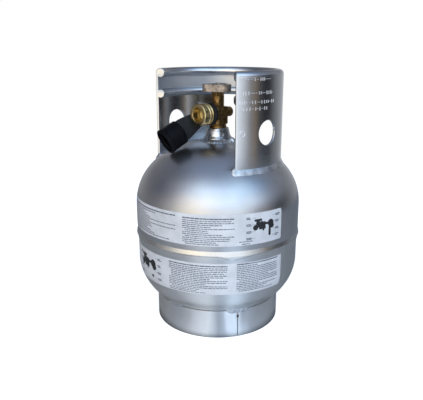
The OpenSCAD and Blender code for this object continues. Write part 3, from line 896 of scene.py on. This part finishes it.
def make_collar_welds():
    """A fillet all round the foot of each collar leg."""
    shapes = []
    for leg, (start, end) in enumerate(((COLLAR_FROM, WINDOW_FROM), (WINDOW_TO, COLLAR_TO))):
        sections = []
        distance = 0
        last = None
        for base, out in leg_path(start, end):
            distance += (base - last).length if last else 0
            last = base
            coin = ripple(distance, 7.0 + leg, 2.5)
            width = 4.2 + 0.7 * noise.noise(Vector((distance * 0.08, leg, 2)))
            toe = base + out * width
            wall = base - out * 0.3
            root = base - out * 1.2
            top = (-0.3, upper_z(wall.xy.length) + 4.3)
            toe_at = (width, upper_z(toe.xy.length) - 0.1)
            root_at = (-1.2, upper_z(root.xy.length) - 0.6)
            face = fillet(top, toe_at, root_at, 0.5 + 1.0 * coin)
            sections.append([base + out * p.x + Vector((0, 0, p.y)) for p in face])
        shapes.append(skin(sections, True))
    add_piece("collar_fillets", shapes, "weld", WELD_METAL, "collar_welds")


# ---- labels

def on_upper(u, z, lift):
    """A point on the upper half at arc length u from +X, lifted off the metal."""
    h = max(0, z - DOME_START)
    r = SHELL_R * (1 - (h / DOME_H) ** DOME_POWER) ** (1 / DOME_POWER)
    return polar(r + lift, degrees(u / SHELL_R), z)


def on_lower(u, z, lift):
    """A point on the lower half at arc length u from +X, lifted off the metal."""
    h = max(0, BASE_START - z)
    r = LOWER_R * sqrt(1 - (h / BASE_H) ** 2)
    return polar(r + lift, degrees(u / LOWER_R), z)


def band(surface, columns, rows, low, high):
    """A thin closed patch on a surface from (u, bottom, top) columns."""
    sections = []
    for u, bottom, top in columns:
        heights = spread(bottom, top, rows)
        front = [surface(u, z, low) for z in heights]
        sections.append(front + [surface(u, z, high) for z in reversed(heights)])
    return skin(sections, False)


def strip(start, end, bottom, top, pitch=3.0):
    """Columns of a plain rectangle."""
    count = max(1, round((end - start) / pitch))
    return [(u, bottom, top) for u in spread(start, end, count)]


def sheet_columns(start, end, bottom, top, corner):
    """Columns of a rectangle with round corners."""
    turns = [radians(t) for t in spread(0, 90, 5)]
    bites = [(corner * (1 - cos(t)), corner * (1 - sin(t))) for t in turns]
    columns = [(start + inset, bottom + bite, top - bite) for inset, bite in bites]
    columns += [(u, bottom, top) for u in spread(start + corner, end - corner, 100)[1:-1]]
    columns += [(end - inset, bottom + bite, top - bite) for inset, bite in reversed(bites)]
    return columns


def printed(surface, columns, rows=1):
    """A patch of ink on a sticker."""
    return band(surface, columns, rows, 0.24, 0.34)


def text_lines(surface, rng, start, end, top, count, pitch, heading=True):
    """Rows of grey dashes that stand for printed text."""
    shapes = []
    for row in range(count):
        bold = heading and row == 0
        tall = 1.7 if bold else 1.15
        z = top - pitch * row - (0.8 if row else 0)
        finish = end if rng.random() < 0.55 else start + (end - start) * rng.uniform(0.45, 0.95)
        u = start + (0 if bold or rng.random() < 0.7 else 4)
        while u < finish - 1.5:
            word = min(rng.uniform(1.6, 7.0), finish - u)
            shapes.append(printed(surface, strip(u, u + word, z - tall, z)))
            u += word + (0.6 if bold else 0.9)
    return shapes


def disc_columns(u, z, radius):
    """Columns of a filled circle."""
    columns = []
    for t in spread(180, 0, 12):
        half = max(0.05, radius * sin(radians(t)))
        columns.append((u + radius * cos(radians(t)), z - half, z + half))
    return columns


def figure(surface, u, z, size):
    """A plain black figure of a valve with its wheel, body, arms and a hanging float arm."""
    bars = (
        (-15.5, -3.5, 9.5, 12.8), (-12.5, -7, 5, 10), (-13, 2.5, 0, 8), (-8, 3, -3, 2),
        (1.5, 12, 3, 6.5), (8.5, 12.5, -13, 5), (-2, 0.5, -5.5, 0)
    )
    discs = ((-13.5, 0.5, 4.2), (-4, 4, 5), (12, 4.5, 5.2), (14.2, 0, 4), (10.5, -12.5, 2.2))
    shapes = []
    for left, right, low, high in bars:
        columns = strip(u + left * size, u + right * size, z + low * size, z + high * size, 2)
        shapes.append(printed(surface, columns))
    for across, up, radius in discs:
        columns = disc_columns(u + across * size, z + up * size, radius * size)
        shapes.append(printed(surface, columns, 4))
    return shapes


def callouts(surface, rng, u, z, reach, rise):
    """Short dashes round a figure, each with a thin leader line towards it."""
    shapes = []
    for side in (-1, 1):
        for level in (-1, -0.35, 0.35, 1):
            near = u + side * reach * 0.72
            far = u + side * reach
            height = z + level * rise
            lead = [(min(near, far), height, height + 0.35), (max(near, far), height, height + 0.35)]
            shapes.append(printed(surface, lead))
            start = far if side > 0 else far - 9
            for row in range(2):
                word = rng.uniform(5, 9)
                low = height + 0.2 - 1.9 * row
                shapes.append(printed(surface, strip(start, start + word, low, low + 1.2)))
    return shapes


def arc_at(radius, angle):
    """Arc length from +X at an angle."""
    return radians(angle) * radius


def make_label(name, node, surface, corners, rows):
    """A sticker sheet with small round corners."""
    columns = sheet_columns(*corners, 2.5)
    add_piece(name, [band(surface, columns, rows, 0.06, 0.26)], "label", PAPER, node, crease=60)


def make_print(name, shapes, ink):
    """Printing on a sticker, as a thin layer of its own."""
    layer = build(name, shapes, 60)
    layer.data.materials.append(ink)
    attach(layer, "tank")


def make_upper_label():
    """The upper sticker: two blocks of lines and a figure with callouts."""
    rng = random.Random(11)
    at = partial(arc_at, SHELL_R)
    corners = (at(LABELS_FROM), at(UPPER_LABEL_TO), UPPER_LABEL_LOW, UPPER_LABEL_TOP)
    make_label("upper_sticker", "upper_label", on_upper, corners, 22)
    lines = text_lines(on_upper, rng, at(-131), at(-74), top=203, count=14, pitch=2.85)
    lines += text_lines(on_upper, rng, at(-69), at(-36), top=202, count=14, pitch=2.85)
    lines += callouts(on_upper, rng, at(-15.5), 185, reach=20, rise=15)
    lines += text_lines(on_upper, rng, at(-33), at(-24), top=167, count=2, pitch=2.6, heading=False)
    make_print("upper_sticker_lines", lines, TEXT_INK)
    make_print("upper_sticker_figure", figure(on_upper, at(-16), 185, 1.0), FIGURE_INK)


def make_lower_label():
    """The lower sticker: a figure with callouts and two blocks of lines."""
    rng = random.Random(12)
    at = partial(arc_at, LOWER_R)
    corners = (at(LABELS_FROM), at(LOWER_LABEL_TO), LOWER_LABEL_LOW, LOWER_LABEL_TOP)
    make_label("lower_sticker", "lower_label", on_lower, corners, 26)
    lines = callouts(on_lower, rng, at(-100), 110, reach=21, rise=16)
    lines += text_lines(on_lower, rng, at(-80), at(-40), top=131, count=16, pitch=2.8)
    lines += text_lines(on_lower, rng, at(-34), at(-3), top=133, count=16, pitch=2.8)
    make_print("lower_sticker_lines", lines, TEXT_INK)
    make_print("lower_sticker_figure", figure(on_lower, at(-102), 111, 1.2), FIGURE_INK)


# ---- valve

def cut_outlet_thread(obj):
    """Cuts a coarse trapezoidal thread into the nose, behind its plain lip."""
    pitch = 5.08
    depth = 1.3
    axis_z = OUTLET_Z * MM
    lip_end = NOSE_END + 6.4
    for vertex in obj.data.vertices:
        y = vertex.co.y / MM
        across = Vector((vertex.co.x, vertex.co.z - axis_z)) / MM
        r = across.length
        if not NOSE_END + 1 < y < NOSE_START + 0.6 or r < NOSE_R - 0.6:
            continue
        phase = (y / pitch + atan2(across.y, across.x) / tau) % 1
        groove = smooth_step(phase, 0.08, 0.24) * (1 - smooth_step(phase, 0.62, 0.78))
        fade_in = smooth_step(y, lip_end, lip_end + 2)
        scale = (r - depth * groove * fade_in) / r
        vertex.co.x = across.x * scale * MM
        vertex.co.z = axis_z + across.y * scale * MM
    obj.data.update()


def make_valve_body():
    """The forged valve body with its threaded outlet nose."""
    body = softened("valve_casting", "valve_body", 0.42, 4)
    cut_outlet_thread(body)
    finish_piece(body, "brass", VALVE_BRASS, "valve_body")


def make_wheel():
    """The cast triangular handwheel."""
    wheel = softened("wheel_casting", "handwheel", 0.42, 6)
    normals = [vertex.normal.copy() for vertex in wheel.data.vertices]
    for vertex, normal in zip(wheel.data.vertices, normals):
        vertex.co += normal * 0.1 * MM * noise.noise(vertex.co * 260)
    finish_piece(wheel, "handwheel", WHEEL_METAL, "handwheel", body="handwheel")


def make_small_parts():
    """Nuts, spindle and screw with their edges broken."""
    rows = (
        ("gland_nut", "tank", "brass", VALVE_BRASS, 0.26),
        ("handwheel_nut", "handwheel", "steel", STEEL, 0.16),
        ("upper_spindle", "handwheel", "brass", CLEAN_BRASS, 0.2),
        ("vent_screw", "vent_screw", "brass", CLEAN_BRASS, 0.16),
        ("relief_retainer", "tank", "brass", CLEAN_BRASS, 0.18),
        ("outlet_seat_ring", "tank", "brass", VALVE_BRASS, 0.2)
    )
    for node, body, slot, material, voxel in rows:
        finish_piece(softened("fine_" + node, node, voxel, 2), slot, material, node, body=body)


def make_coil(node):
    """A closing spring, a smooth-shaded copy of its CAD node with its own mesh."""
    coil = new_object("coil_" + node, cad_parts[node].data.copy())
    coil.data.shade_smooth()
    finish_piece(coil, "steel", STEEL, node)
    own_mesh(coil)


# ---- dust cap and its strap

def cap_matrix():
    """From the cap's own frame, with +Z out of its mouth, to its resting place."""
    turn = rotation(CAP_HEADING, "Z") @ rotation(90 + CAP_DIP, "Y") @ rotation(CAP_ROLL, "Z")
    return Matrix.Translation(CAP_BACK) @ turn


def make_dust_cap():
    """The moulded rubber cap: round shoulders, a lip at the mouth and an inner bead."""
    inner = CAP_R - 2.1
    profile = rounded([
        (0, 0, 0), (CAP_R, 0, 2.2), (CAP_R, 24, 0.8),
        (CAP_R + 0.8, 25, 0.5), (CAP_R + 0.8, CAP_LENGTH, 0.9),
        (inner, CAP_LENGTH, 0.8), (inner, 26, 0.6), (inner - 0.6, 25, 0.5), (inner - 0.6, 23.5, 0.5),
        (inner, 22.5, 0.6), (inner, 2.5, 1.5), (0, 2.5, 0)
    ])
    shape = moved(turned(profile, 128), cap_matrix())
    add_piece("rubber_cap", [shape], "rubber", CAP_RUBBER, "dust_cap", body="cap")


def strap_section(centre, wide, flat, width, thick):
    """A rounded rectangle across the strap."""
    corner = thick * 0.3
    outline = rounded([
        (-width / 2, -thick / 2, corner), (width / 2, -thick / 2, corner),
        (width / 2, thick / 2, corner), (-width / 2, thick / 2, corner)
    ], 3)
    return [centre + wide * a + flat * b for a, b in outline]


def make_tether():
    """The retaining ring on the outlet and the wide strap that carries the cap."""
    ring_outline = rounded([(14.3, 17, 0.7), (17.3, 17, 0.9), (17.3, 23, 0.9), (14.3, 23, 0.7)], 3)
    to_outlet = Matrix.Translation((0, 0, OUTLET_Z)) @ rotation(90, "X")
    ring = moved(turned(ring_outline, 96), to_outlet)
    turn = cap_matrix().to_3x3()
    wide, flat, out = turn.col
    start = STRAP_START - out * 0.5
    end = CAP_BACK + out * 0.6
    sections = []
    for t in spread(0, 1, 28):
        centre = start.lerp(end, t) + flat * 0.6 * sin(pi * t)
        width = 24 + 10 * smooth_step(t, 0.1, 0.9)
        waist = 1 - 0.25 * exp(-((t - 0.93) / 0.04) ** 2)
        sections.append(strap_section(centre, wide, flat, width, 3 * waist))
    tether = build("cap_strap", [ring, skin(sections, False)])
    tether.data.materials.append(STRAP_RUBBER)
    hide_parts("cap_tether")
    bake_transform(tether)


# ---- inner parts

def dress_inner_nodes():
    """Materials for the CAD nodes that stay as they are."""
    looks = {
        "spindle_seals": SEAL_RUBBER, "lower_spindle": CLEAN_BRASS, "seat_disc": NYLON,
        "outlet_poppet": DARK_PLASTIC, "relief_poppet": CLEAN_BRASS,
        "relief_seal": SEAL_RUBBER, "vent_tube": CLEAN_BRASS,
        "float_valve_housing": CLEAN_BRASS, "float_valve_piston": DARK_PLASTIC, "float_pin": STEEL,
        "float_arm": DARK_PLASTIC, "float": FLOAT_FOAM
    }
    for name, material in looks.items():
        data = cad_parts[name].data
        data.materials.clear()
        data.materials.append(material)


# ---- studio

CAMERA_AT = Vector((0.5720, -0.6005, 0.4298))
CAMERA_PITCH = -16.0
CAMERA_HEADING = 134.3
CAMERA_LENS = 45.39


def make_camera():
    """The camera that the photographer's place and lens give."""
    camera = new_object("camera", bpy.data.cameras.new("camera"))
    camera.data.lens = CAMERA_LENS
    camera.data.sensor_width = 36
    camera.data.clip_start = 0.01
    camera.location = CAMERA_AT
    ahead = rotation(CAMERA_HEADING, "Z", 3) @ Vector((1, 0, 0))
    level = radians(CAMERA_PITCH)
    look = ahead * cos(level) + Vector((0, 0, sin(level)))
    camera.rotation_euler = look.to_track_quat("-Z", "Y").to_euler()
    scene.camera = camera


HORIZON = (
    (-180, (0.28, 0.28, 0.29)), (-155, (0.16, 0.16, 0.17)), (-138, (0.19, 0.19, 0.20)),
    (-112, (0.52, 0.50, 0.48)), (-97, (1.22, 1.15, 1.02)), (-77, (1.58, 1.40, 1.12)),
    (-57, (1.30, 1.25, 1.20)), (-37, (1.24, 1.26, 1.30)), (-14, (1.14, 1.20, 1.28)),
    (0, (0.66, 0.68, 0.72)), (10, (0.30, 0.30, 0.30)), (20, (0.26, 0.20, 0.15)),
    (30, (0.08, 0.08, 0.08)), (42, (0.03, 0.03, 0.035)), (55, (0.05, 0.05, 0.055)),
    (67, (0.17, 0.18, 0.19)), (95, (0.38, 0.39, 0.41)), (118, (0.60, 0.62, 0.64)),
    (150, (0.45, 0.45, 0.46)), (180, (0.28, 0.28, 0.29))
)
WALLS = (
    (-180, (0.19, 0.19, 0.21)), (-138, (0.11, 0.12, 0.16)), (-114, (0.36, 0.36, 0.39)),
    (-98, (1.15, 1.08, 1.06)), (-78, (1.80, 1.70, 1.56)), (-57, (1.42, 1.48, 1.58)),
    (-36, (1.04, 1.28, 1.62)), (-14, (1.18, 1.42, 1.66)), (4, (1.16, 1.32, 1.54)),
    (15, (0.76, 0.90, 1.14)), (30, (0.34, 0.38, 0.48)), (60, (0.19, 0.20, 0.23)),
    (78, (0.25, 0.26, 0.29)), (110, (0.22, 0.23, 0.25)), (180, (0.19, 0.19, 0.21))
)
UPPER_WALLS = (
    (-180, (0.14, 0.15, 0.18)), (-146, (0.12, 0.13, 0.16)), (-112, (0.42, 0.44, 0.52)),
    (-96, (0.84, 0.98, 1.20)), (-83, (1.18, 1.42, 1.64)), (-59, (0.92, 1.16, 1.46)),
    (-34, (0.72, 1.00, 1.42)), (-10, (0.96, 1.36, 1.72)), (5, (0.90, 1.24, 1.62)),
    (19, (0.58, 0.84, 1.16)), (29, (0.36, 0.54, 0.86)), (44, (0.19, 0.25, 0.36)),
    (69, (0.22, 0.25, 0.31)), (95, (0.15, 0.16, 0.19)), (180, (0.14, 0.15, 0.18))
)
# Painted light: glowing floor tones round the tank, which the metal mirrors as an unevenly lit floor
FLOOR_PAINTED_LIGHT = (
    (-180, (0.20, 0.20, 0.20)), (-125, (0.26, 0.26, 0.26)), (-105, (0.29, 0.29, 0.30)),
    (-95, (0.32, 0.32, 0.33)), (-84, (0.40, 0.40, 0.41)), (-74, (0.58, 0.58, 0.59)),
    (-66, (0.70, 0.70, 0.71)), (-57, (0.78, 0.79, 0.80)), (-52, (0.62, 0.64, 0.66)),
    (-45, (0.35, 0.38, 0.42)), (-38, (0.46, 0.51, 0.56)), (-33, (0.76, 0.83, 0.91)),
    (-26, (0.78, 0.88, 0.96)), (-17, (0.54, 0.59, 0.65)), (-10, (0.36, 0.39, 0.43)),
    (-2, (0.32, 0.34, 0.37)), (13, (0.27, 0.28, 0.30)), (60, (0.19, 0.20, 0.21)),
    (180, (0.20, 0.20, 0.20))
)
ZENITH = (0.26, 0.33, 0.48)


def round_ramp(tree, vector, tones):
    """A colour that depends on the direction round the tank, from (angle, colour) tones."""
    x, y = axes(tree, vector)[:2]
    turn = calc(tree, "DEGREES", calc(tree, "ARCTAN2", y, x))
    part = put(tree, "MapRange", {0: turn, 1: -180.0, 2: 180.0}).outputs[0]
    return ramp(tree, part, [((angle + 180) / 360, colour) for angle, colour in tones])


def glowing(tree, colour):
    """Matt paint that glows with its own colour."""
    inputs = {"Base Color": colour, "Emission Color": colour, "Roughness": 0.9, "Specular IOR Level": 0.0}
    return put(tree, "BsdfPrincipled", inputs)


def seen_or_mirrored(tree, mirrored, seen):
    """One shader for what the camera sees directly and another for all other light."""
    factor = put(tree, "LightPath").outputs["Is Camera Ray"]
    return put(tree, "MixShader", {0: factor, 1: mirrored.outputs[0], 2: seen.outputs[0]}).outputs[0]


def floor_material():
    """Glowing paint: white to the camera but for a painted shadow under the tank, and mirrored as a grey
    floor of painted uneven light with a painted shadow near the tank; clear from below.
    """
    material = bpy.data.materials.new("floor_painted_light_and_shadow")
    material.use_nodes = True
    tree = material.node_tree
    tree.nodes.clear()
    r = axis_distance(tree)
    # Painted shadow: the mirrored floor's glow fades towards the tank's foot
    near = fade(tree, r, FOOT_R * MM * 0.9, FOOT_R * MM * 1.2, 0.05, 1.0)
    # Painted light: the mirrored floor glows in tones that change round the tank
    tones = round_ramp(tree, place(tree), FLOOR_PAINTED_LIGHT)
    grey = glowing(tree, put(tree, "VectorMath", {0: tones, "Scale": near}, operation="SCALE").outputs[0])
    grey.inputs["Emission Strength"].default_value = 0.5
    # Painted shadow: the white floor that the camera sees turns black inside the foot ring
    white = glowing(tree, fade(tree, r, FOOT_R * MM * 0.93, FOOT_R * MM * 0.98, 0.02, 1.0))
    white.inputs["Emission Strength"].default_value = 0.7
    paint = seen_or_mirrored(tree, grey, white)
    below = put(tree, "NewGeometry").outputs["Backfacing"]
    clear = put(tree, "BsdfTransparent").outputs[0]
    surface = put(tree, "MixShader", {0: below, 1: paint, 2: clear}).outputs[0]
    put(tree, "OutputMaterial", {0: surface})
    return material


def make_floor():
    """A wide, pale studio floor, which glows with painted light and painted shadows."""
    mesh = bpy.data.meshes.new("floor")
    rim = [polar(1.3, angle, 0) for angle in spread(0, 360, 96)[:-1]]
    mesh.from_pydata(rim, [], [tuple(range(96))])
    mesh.materials.append(floor_material())
    floor = new_object("floor", mesh)
    floor.location.z = -0.3 * MM


def make_world():
    """A studio that is white to look at and bright on the camera's left."""
    world = bpy.data.worlds.new("studio")
    scene.world = world
    world.use_nodes = True
    tree = world.node_tree
    tree.nodes.clear()
    towards = put(tree, "TexCoord").outputs["Generated"]
    elevation = calc(tree, "DEGREES", calc(tree, "ARCSINE", axes(tree, towards)[2]))
    low, walls, upper = [round_ramp(tree, towards, tones) for tones in (HORIZON, WALLS, UPPER_WALLS)]
    light = mixed(tree, fade(tree, elevation, 0.0, 20.0, 0.0, 1.0), low, walls)
    light = mixed(tree, fade(tree, elevation, 22.0, 42.0, 0.0, 1.0), light, upper)
    light = mixed(tree, fade(tree, elevation, 45.0, 80.0, 0.0, 1.0), light, ZENITH)
    studio = put(tree, "Background", {0: light})
    white = put(tree, "Background", {0: (1, 1, 1, 1)})
    put(tree, "OutputWorld", {0: seen_or_mirrored(tree, studio, white)})


def make_lamp(name, azimuth, elevation, distance, size, power, colour):
    """A large soft lamp aimed at the middle of the tank."""
    light = bpy.data.lights.new(name, "AREA")
    light.shape = "RECTANGLE"
    light.size = size[0]
    light.size_y = size[1]
    light.energy = power
    light.color = colour
    lamp = new_object(name, light)
    middle = Vector((0, 0, 0.2))
    rise = radians(elevation)
    out = rotation(azimuth, "Z", 3) @ Vector((cos(rise), 0, sin(rise)))
    lamp.location = middle + out * distance
    lamp.rotation_euler = (-out).to_track_quat("-Z", "Y").to_euler()


make_camera()
make_floor()
make_world()
make_lamp("window_light", azimuth=-45, elevation=35, distance=2.2, size=(1.8, 1.4), power=3,
          colour=(0.95, 0.98, 1.0))
scene.view_settings.view_transform = "Standard"

make_upper_shell()
make_lower_shell()
make_girth_weld()
make_neck_boss()
make_boss_weld()
make_foot_ring()
make_foot_welds()
make_collar()
make_collar_welds()
make_upper_label()
make_lower_label()
make_valve_body()
make_wheel()
make_small_parts()
make_coil("outlet_spring")
make_coil("relief_spring")
make_dust_cap()
make_tether()
dress_inner_nodes()
